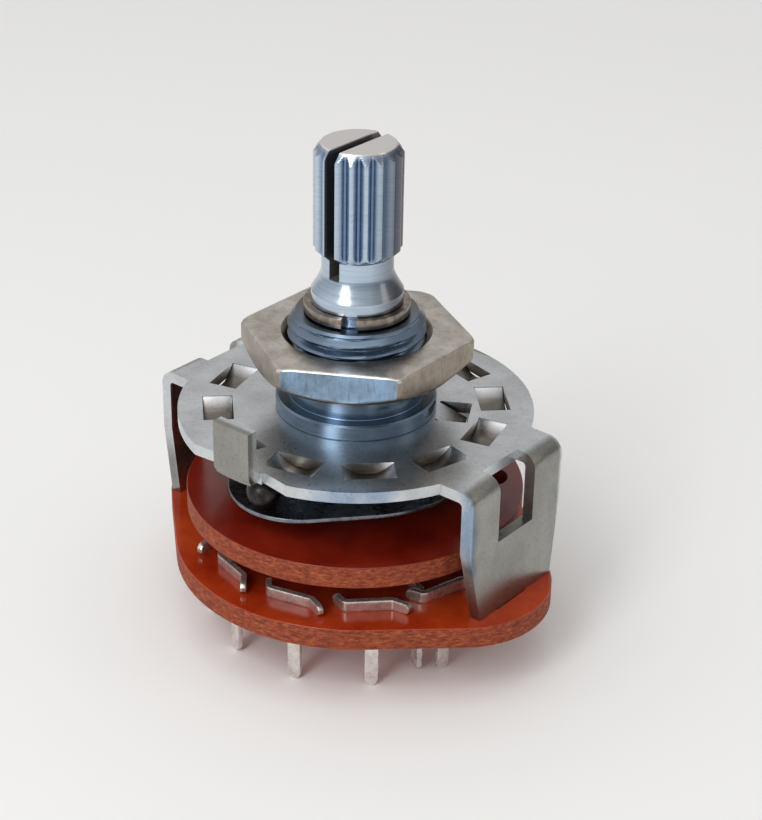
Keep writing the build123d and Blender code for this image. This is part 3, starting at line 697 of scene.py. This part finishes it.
print("points nearer than", MERGE / MM, "mm are merged")

# %% [markdown]
# ## Mounting nut
# A thin hexagon nut whose lower corners were turned off at 30 degrees, which leaves an arc along the foot of
# each flat. One outline is spun into a ring. Then every point of its outer rows is moved out to the hexagon's
# own radius at that angle, and up or down to where the turned cone meets it.

# %% The nut's outline
ACROSS_FLATS, NUT_HOLE, HOLE_CHAMFER = 14.2, 4.80, 0.4
CORNER_RADIUS = ACROSS_FLATS / 2 / cos(radians(30))
CORNER_BLUNT, BLUNT_REACH = 0.10, 0.25
UPPER_ROUND, UPPER_FACE_INSET, UPPER_DROP = 0.20, 0.7, 0.4
LOWER_ROUND_TOP, LOWER_ROUND_STEP, LOWER_ROUND_INSET, LOWER_STEPS = 0.9, 0.06, 0.12, 4
LOWER_FACE_INSET, LOWER_RIM_INSET = 0.9, 0.16
LOWER_CONE_RADIUS, LOWER_CONE_RISE, LOWER_ROW_DROP = 6.95, 0.80, 0.66
NUT_STEPS = 240
widest = max(corner.co.x for corner in frame["nodes"]["mounting_nut"].data.vertices) / MM
NUT_TURN = 0 if widest > ACROSS_FLATS / 2 + 0.3 else 30


def nut_outline(bottom, top):
    """Half the nut's outline in mm, across one flat."""
    half = ACROSS_FLATS / 2
    arc = [(1 - cos(radians(a)), sin(radians(a))) for a in (0, 22.5, 45, 67.5, 90)]
    upper = {round(top - UPPER_ROUND * (1 - up), 4): UPPER_ROUND * away for away, up in reversed(arc)}
    lower = {round(bottom + LOWER_ROUND_TOP - LOWER_ROUND_STEP * step, 4):
             LOWER_ROUND_INSET * (step / LOWER_STEPS) ** 2 for step in range(LOWER_STEPS + 1)}
    outline = [(NUT_HOLE, bottom + HOLE_CHAMFER), (NUT_HOLE, top - HOLE_CHAMFER),
               (NUT_HOLE + HOLE_CHAMFER, top), (half - UPPER_FACE_INSET, top)]
    outline += [(half - inset, z) for z, inset in sorted(upper.items(), reverse=True)]
    outline += [(half - inset, z) for z, inset in sorted(lower.items(), reverse=True)]
    return outline + [(half - LOWER_RIM_INSET, bottom), (half - LOWER_FACE_INSET, bottom),
                      (NUT_HOLE + HOLE_CHAMFER, bottom)]


print("nut's half width along X", round(widest, 2), "mm, turned by", NUT_TURN, "degrees")

# %% [markdown]
# At any angle a hexagon's wall lies half its width across flats away, divided by the cosine of the angle from
# the flat's middle. The corners are blunted a little, as the stamping die leaves them.

# %% Mounting nut
def mounting_nut():
    bottom, top = (corner[2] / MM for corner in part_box("mounting_nut"))
    half = ACROSS_FLATS / 2
    shape = spun(nut_outline(bottom, top), NUT_STEPS)
    for vert in shape.verts:
        radius, height = vert.co.xy.length / MM, round(vert.co.z / MM, 4)
        if radius < half - 0.6:
            continue
        turn = (degrees(atan2(vert.co.y, vert.co.x)) + NUT_TURN) % 60 - 30
        wall = half / cos(radians(turn))
        blunt = CORNER_RADIUS - CORNER_BLUNT
        wall = min(wall, blunt - 0.5 * max(0.0, BLUNT_REACH - (blunt - wall)) ** 2)
        cone = max(0.0, (wall - LOWER_CONE_RADIUS) / (CORNER_RADIUS - LOWER_CONE_RADIUS))
        if height > bottom + LOWER_ROUND_TOP + 0.05:
            vert.co.z -= UPPER_DROP * max(0.0, wall - (CORNER_RADIUS - 0.35)) * MM
        elif height > bottom + 0.1:
            vert.co.z += (LOWER_CONE_RISE * cone - LOWER_ROW_DROP) * MM
        if height >= bottom + 0.1:
            vert.co.xy *= (wall - (half - radius)) / radius
    bmesh.ops.recalc_face_normals(shape, faces=shape.faces)
    place_piece("mounting_nut_turned", shape, "mounting_nut")


mounting_nut()

# %% [markdown]
# ## Threaded bushing
# A 32 turns to the inch thread is a groove that winds round the bushing once every 0.794 mm. A Screw modifier
# could wind a profile, but leaves open ends. Here the whole outline is spun into a closed ring first, and then
# every point on the threaded stretch is moved inwards by a triangle wave whose phase turns with the angle.
# The wave is steepened and clipped, as a real thread has a small flat on its crest and its root. The groove
# fades in above the plain shoulder, as a real thread runs out.

# %% Bushing
PITCH, THREAD_DEPTH, CREST = 25.4 / 32, 0.45, 9.525 / 2
THREAD_START, ROWS_PER_TURN, LEAD_IN = 1.7, 10, 0.55
WAVE_STEEPNESS, WAVE_CLIP = 1.35, 0.15
BORE, BORE_CHAMFER, COLLAR = 3.19, 0.25, 5.6
LIP, LIP_FOOT, SPIGOT = 4.9, 5.2, 4.6
SHEET, PLATE_TOP = 0.8, -1.1
BUSHING_STEPS, NEAR = 120, 0.01


def bushing():
    bottom, top = (corner[2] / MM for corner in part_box("bushing"))
    outline = [(BORE, bottom), (LIP, bottom), (LIP_FOOT, PLATE_TOP - SHEET), (SPIGOT, PLATE_TOP - SHEET),
               (SPIGOT, PLATE_TOP), (COLLAR - 0.06, PLATE_TOP), (COLLAR, PLATE_TOP + 0.06), (COLLAR, -0.12),
               (COLLAR - 0.12, 0), (CREST - 0.02, 0), (CREST - 0.05, 0.05)]
    rows = int((top - THREAD_START) / PITCH * ROWS_PER_TURN)
    outline += [(CREST, THREAD_START + (top - THREAD_START) * row / rows) for row in range(rows + 1)]
    outline += [(BORE + BORE_CHAMFER, top), (BORE, top - BORE_CHAMFER)]
    shape = spun(outline, BUSHING_STEPS)
    for vert in shape.verts:
        height, radius = vert.co.z / MM, vert.co.xy.length / MM
        if height < THREAD_START - NEAR or radius < CREST - NEAR:
            continue
        turn = height / PITCH - Vector(vert.co.xy).angle_signed(Vector((1, 0)), 0) / tau
        wave = 1 - abs(2 * (turn % 1) - 1)
        groove = min(1.0, max(0.0, WAVE_STEEPNESS * wave - WAVE_CLIP))
        fade = min(1.0, (height - THREAD_START) / PITCH)
        vert.co.xy *= min(CREST - THREAD_DEPTH * groove * fade, CREST - LEAD_IN + (top - height)) / radius
    bmesh.ops.recalc_face_normals(shape, faces=shape.faces)
    place_piece("bushing_threaded", shape, "bushing", weighted=False)


bushing()
print("thread pitch", round(PITCH, 3), "mm")

# %% [markdown]
# ## Cutting one shape out of another
# A slot or a sheared opening is easiest as a boolean. The modifier is applied at once by asking Blender for
# the evaluated mesh, so that no hidden cutter stays in the file.

# %% Cutting
def block(shape, x, y, z):
    """Adds a box between those pairs of mm to a bmesh, and returns its vertices."""
    made = bmesh.ops.create_cube(shape, size=1)["verts"]
    bmesh.ops.scale(shape, verts=made, vec=[(pair[1] - pair[0]) * MM for pair in (x, y, z)])
    bmesh.ops.translate(shape, verts=made, vec=[sum(pair) / 2 * MM for pair in (x, y, z)])
    return made


def cut_away(shape, cutter):
    """The first bmesh less the second, as a new bmesh."""
    pair = []
    for name, source in (("stock", shape), ("cutter", cutter)):
        pair.append(bpy.data.objects.new(name, bpy.data.meshes.new(name)))
        source.to_mesh(pair[-1].data)
        source.free()
        bpy.context.scene.collection.objects.link(pair[-1])
    cut = pair[0].modifiers.new("cut", "BOOLEAN")
    cut.operation, cut.solver, cut.object = "DIFFERENCE", "EXACT", pair[1]
    done = pair[0].evaluated_get(bpy.context.evaluated_depsgraph_get())
    result = bmesh.new()
    result.from_mesh(done.to_mesh())
    done.to_mesh_clear()
    for scratch in pair:
        mesh = scratch.data
        bpy.data.objects.remove(scratch)
        bpy.data.meshes.remove(mesh)
    bmesh.ops.remove_doubles(result, verts=result.verts, dist=MERGE)
    return result


# %% [markdown]
# ## Shaft
# The shaft is turned, its end knurled with eighteen straight vee grooves, and then sawn across for a
# screwdriver. The outline is spun, points within the knurl are pulled in to the groove's depth at their angle,
# and the saw cut is a boolean. The grooves run out through both chamfers, which draws the pointed arches at
# their ends. Below the bushing the shaft has two flats that drive the discs.

# %% The shaft's outline
TIP_RADIUS, TIP_ROUND, TIP_CHAMFER, TIP_ROWS = 2.56, 0.09, 0.56, 8
KNURL_RADIUS, KNURL_ROOT, KNURL_TEETH, KNURL_BOTTOM = 3.0, 2.60, 18, 10.85
KNURL_RUN_OUT, RUN_OUT_ROWS, STEPS_PER_TOOTH = 0.5, 6, 12
TOOTH_STEEPNESS, TOOTH_CLIP = 2.9, 0.25
NECK_RADIUS, NECK_BOTTOM, FLARE_HEIGHT, FLARE_ROWS, FLARE_CURVE = 2.45, 9.2, 1.45, 8, 1.35
BODY_RADIUS, CLIP_RADIUS, DRIVE_RADIUS, JOURNAL_RADIUS = 3.15, 2.6, 3.0, 2.0
CLIP_BOTTOM, CLIP_TOP, DRIVE_TOP, DRIVE_BOTTOM, FLAT_DISTANCE = 6.2, 6.92, -2.45, -9.35, 2.2
SLOT_WIDTH, SLOT_BOTTOM = 0.85, 9.05


def shaft_outline(bottom, top):
    """Half the shaft's outline in mm, from the middle of its tip to the middle of its foot."""
    outline = [(0, top), (TIP_RADIUS - 0.10, top), (TIP_RADIUS - 0.04, top - 0.03)]
    outline += [(TIP_RADIUS + (KNURL_RADIUS - TIP_RADIUS) * step / TIP_ROWS,
                 top - TIP_ROUND - TIP_CHAMFER * step / TIP_ROWS) for step in range(TIP_ROWS + 1)]
    outline += [(KNURL_RADIUS - (KNURL_RADIUS - NECK_RADIUS) * step / RUN_OUT_ROWS,
                 KNURL_BOTTOM - KNURL_RUN_OUT * step / RUN_OUT_ROWS) for step in range(RUN_OUT_ROWS + 1)]
    outline += [(NECK_RADIUS + (BODY_RADIUS - NECK_RADIUS) * (step / FLARE_ROWS) ** FLARE_CURVE,
                 NECK_BOTTOM - FLARE_HEIGHT * step / FLARE_ROWS) for step in range(FLARE_ROWS + 1)]
    return outline + [(BODY_RADIUS, 7.70), (BODY_RADIUS, CLIP_TOP + 0.06), (BODY_RADIUS - 0.06, CLIP_TOP),
                      (CLIP_RADIUS, CLIP_TOP), (CLIP_RADIUS, CLIP_BOTTOM), (BODY_RADIUS, CLIP_BOTTOM),
                      (BODY_RADIUS, DRIVE_TOP), (DRIVE_RADIUS, DRIVE_TOP), (DRIVE_RADIUS, DRIVE_BOTTOM),
                      (JOURNAL_RADIUS, DRIVE_BOTTOM), (JOURNAL_RADIUS, bottom + 0.15),
                      (JOURNAL_RADIUS - 0.15, bottom), (0, bottom)]


print("knurl of", KNURL_TEETH, "teeth on", 2 * KNURL_RADIUS, "mm")

# %% [markdown]
# Round the knurl each tooth is a steep triangle wave, clipped at the full radius so that it keeps a narrow land.

# %% Shaft
def shaft():
    bottom, top = (corner[2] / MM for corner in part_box("shaft"))
    shape = spun(shaft_outline(bottom, top), KNURL_TEETH * STEPS_PER_TOOTH, closed=False)
    for vert in shape.verts:
        height, radius = vert.co.z / MM, vert.co.xy.length / MM
        if height > KNURL_BOTTOM - KNURL_RUN_OUT - 0.1 and radius > 1:
            tooth = (degrees(atan2(vert.co.y, vert.co.x)) - 90) / 360 * KNURL_TEETH % 1
            climb = min(1.0, max(0.0, (0.5 - abs(tooth - 0.5)) * TOOTH_STEEPNESS - TOOTH_CLIP))
            vert.co.xy *= min(radius, KNURL_ROOT + (KNURL_RADIUS - KNURL_ROOT) * climb) / radius
        if DRIVE_BOTTOM - NEAR < height < DRIVE_TOP + NEAR and radius < BODY_RADIUS - 0.05:
            vert.co.x = min(max(vert.co.x, -FLAT_DISTANCE * MM), FLAT_DISTANCE * MM)
    bmesh.ops.recalc_face_normals(shape, faces=shape.faces)
    saw = bmesh.new()
    block(saw, (-SLOT_WIDTH / 2, SLOT_WIDTH / 2), (-5, 5), (SLOT_BOTTOM, top + 1))
    place_piece("shaft_turned", cut_away(shape, saw), "shaft")


shaft()

# %% [markdown]
# ## Strips
# The bumps and the terminals are strips of sheet metal. A strip starts as a flat grid, whose rows let it bend
# later. It is then given its thickness by pushing a copy of its face upwards, and its outer edges are broken.
# Solidify and Bevel modifiers could do the same after bending, but would widen the tight inner bends.

# %% Strips
RING_START, RING_STEP = 15, 30
SQUARE = radians(50)


def ring_turn(number):
    """The turn to a place on the ring of twelve, counted from 0."""
    return Matrix.Rotation(radians(RING_START + RING_STEP * number), 4, "Z")


def thicken(strip, thickness, edge):
    """Gives a flat strip its thickness, centred, and breaks its edges."""
    bmesh.ops.translate(strip, verts=strip.verts, vec=(0, 0, -thickness / 2))
    grown = bmesh.ops.extrude_face_region(strip, geom=strip.faces[:])
    upper = [item for item in grown["geom"] if isinstance(item, bmesh.types.BMVert)]
    bmesh.ops.translate(strip, verts=upper, vec=(0, 0, thickness))
    bmesh.ops.recalc_face_normals(strip, faces=strip.faces)
    crisp = [e for e in strip.edges if e.calc_face_angle(0) > SQUARE]
    bmesh.ops.bevel(strip, geom=crisp, offset=edge, offset_type="OFFSET", segments=2, profile=0.5,
                    affect="EDGES", clamp_overlap=True, material=-1)


def join(shape, extra):
    """Moves everything in the second bmesh into the first."""
    holder = bpy.data.meshes.new("holder")
    extra.to_mesh(holder)
    extra.free()
    shape.from_mesh(holder)
    bpy.data.meshes.remove(holder)


print("ring of", 360 // RING_STEP, "places from", RING_START, "degrees")

# %% [markdown]
# ## Detent frame
# The disc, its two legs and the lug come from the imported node. Its twelve detent bumps are strips that a punch
# sheared along both sides and drew down. Those need more rows than the node has, so they are cut out of the
# copy and laid in again as strips that dip like a bowl, steep at the ends and broad at the bottom.

# %% Detent frame
BUMP_LENGTH, BUMP_WIDTH, BUMP_DEPTH, BUMP_CIRCLE = 3.56, 2.1, 0.85, 9.6
BUMP_ROWS, BUMP_OVERLAP, BUMP_BREADTH, BUMP_STEEPNESS = 28, 0.04, 2.2, 1.15
OPENING_BOTTOM, OPENING_TOP = PLATE_TOP - 2.2, PLATE_TOP + 0.3
SHEET_EDGE, BUMP_EDGE = 0.09, 0.10


def dished_bump(number):
    """One dished strip in its place on the ring."""
    strip = bmesh.new()
    bmesh.ops.create_grid(strip, x_segments=2, y_segments=BUMP_ROWS, size=0.5)
    bmesh.ops.scale(strip, verts=strip.verts, vec=(BUMP_WIDTH, BUMP_LENGTH + BUMP_OVERLAP, 1))
    thicken(strip, SHEET, BUMP_EDGE)
    for vert in strip.verts:
        away = min(1.0, abs(2 * vert.co.y / BUMP_LENGTH))
        vert.co.z += PLATE_TOP - SHEET / 2 - BUMP_DEPTH * (1 - away ** BUMP_BREADTH) ** BUMP_STEEPNESS
        vert.co.x += BUMP_CIRCLE
    bmesh.ops.transform(strip, matrix=ring_turn(number) @ Matrix.Scale(MM, 4), verts=strip.verts)
    return strip


def detent_frame():
    openings = bmesh.new()
    reach = (BUMP_CIRCLE - BUMP_WIDTH / 2, BUMP_CIRCLE + BUMP_WIDTH / 2)
    for number in range(12):
        made = block(openings, reach, (-BUMP_LENGTH / 2, BUMP_LENGTH / 2), (OPENING_BOTTOM, OPENING_TOP))
        bmesh.ops.transform(openings, matrix=ring_turn(number), verts=made)
    shape = cut_away(skin_of("detent_frame"), openings)
    break_edges(shape, SHEET_EDGE)
    for number in range(12):
        join(shape, dished_bump(number))
    place_piece("detent_frame_blank", shape, "detent_frame")


detent_frame()

# %% [markdown]
# ## Terminals
# Each terminal is one strip of silver plated brass. A standing bar on the board is kinked inwards at one end
# and outwards at the other, its ends rounded by the punch. The strip is made flat as a grid, its end columns
# shortened into a half round, given its thickness, and then bent by walking along it with a heading that
# changes over each kink. A curve object could carry a profile along the same path, but not the round ends.

# %% Heading and flat strip
STRIP, BAR_EDGE, BAR_COLUMNS, BLUNTEST = 0.4, 0.05, 44, 0.35
BAR_CIRCLE, BAR_START, BAR_LENGTH = 10.4, (-1.1, -2.2), 5.81
HEADINGS, KINK = ((0.0, 28.6), (1.25, 90.0), (4.45, 54.0)), 0.45
WALK_STEPS = 400


def heading(travelled):
    """The bar's direction in radians after that many mm, with each change spread over a kink."""
    angle = HEADINGS[0][1]
    for (start_at, after), (_, before) in zip(HEADINGS[1:], HEADINGS):
        share = min(1.0, max(0.0, (travelled - start_at) / KINK + 0.5))
        angle += (after - before) * share * share * (3 - 2 * share)
    return radians(angle)


def flat_strip(length, width, columns, rounded):
    """A flat strip from 0 to length along X, centred on Y, with those of its ends rounded."""
    strip = bmesh.new()
    bmesh.ops.create_grid(strip, x_segments=columns, y_segments=4, size=0.5)
    bmesh.ops.translate(strip, verts=strip.verts, vec=(0.5, 0, 0))
    bmesh.ops.scale(strip, verts=strip.verts, vec=(length, width, 1))
    for vert in strip.verts:
        for end in rounded:
            inset = 1 - abs(vert.co.x - end) / (width / 2)
            if inset > 0:
                vert.co.y *= max(BLUNTEST, (1 - inset * inset) ** 0.5)
    return strip


print("a bar's heading goes from", HEADINGS[0][1], "to", round(degrees(heading(BAR_LENGTH)), 1), "degrees")

# %% [markdown]
# The walk is taken in 400 small steps. Each point of the strip then goes to its step on the path, and its
# height within the sheet moves it sideways from there.

# %% Contact bars
def contact_bar(bottom, top):
    """The bent bar in mm, as it stands on the board at angle 0."""
    walked = [Vector(BAR_START)]
    for step in range(WALK_STEPS):
        angle = heading((step + 0.5) * BAR_LENGTH / WALK_STEPS)
        walked.append(walked[-1] + Vector((cos(angle), sin(angle))) * BAR_LENGTH / WALK_STEPS)
    bar = flat_strip(BAR_LENGTH, top - bottom, BAR_COLUMNS, (0, BAR_LENGTH))
    thicken(bar, STRIP, BAR_EDGE)
    for vert in bar.verts:
        along = min(max(vert.co.x / BAR_LENGTH, 0.0), 1.0)
        angle = heading(vert.co.x)
        spot = walked[round(along * WALK_STEPS)] + Vector((sin(angle), -cos(angle))) * vert.co.z
        vert.co = (BAR_CIRCLE + spot.x, spot.y, (bottom + top) / 2 + vert.co.y)
    bmesh.ops.recalc_face_normals(bar, faces=bar.faces)
    return bar


# %% [markdown]
# ## Pins
# A pin runs down through the board from each bar, a little off the bar's middle, with its lower end rounded.
# Bar and pin are one piece of metal, so they share a mesh, which is then turned to its place on the ring.

# %% Pins and terminals
PIN_CIRCLE, PIN_SHIFT, PIN_WIDTH, PIN_EDGE, PIN_ROWS = 10.28, 0.27, 0.95, 0.06, 30


def pin(tip, root):
    """The straight pin in mm, at angle 0."""
    made = flat_strip(root - tip, PIN_WIDTH, PIN_ROWS, (root - tip,))
    thicken(made, STRIP, PIN_EDGE)
    for vert in made.verts:
        vert.co = (PIN_CIRCLE + vert.co.z, PIN_SHIFT + vert.co.y, root - vert.co.x)
    bmesh.ops.recalc_face_normals(made, faces=made.faces)
    return made


board_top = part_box("stator_board")[1][2] / MM
for number in range(12):
    node = f"terminal_{number + 1:02d}"
    tip, top = (corner[2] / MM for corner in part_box(node))
    shape = contact_bar(board_top, top)
    join(shape, pin(tip, board_top))
    bmesh.ops.transform(shape, matrix=ring_turn(number) @ Matrix.Scale(MM, 4), verts=shape.verts)
    place_piece(node + "_strip", shape, node)
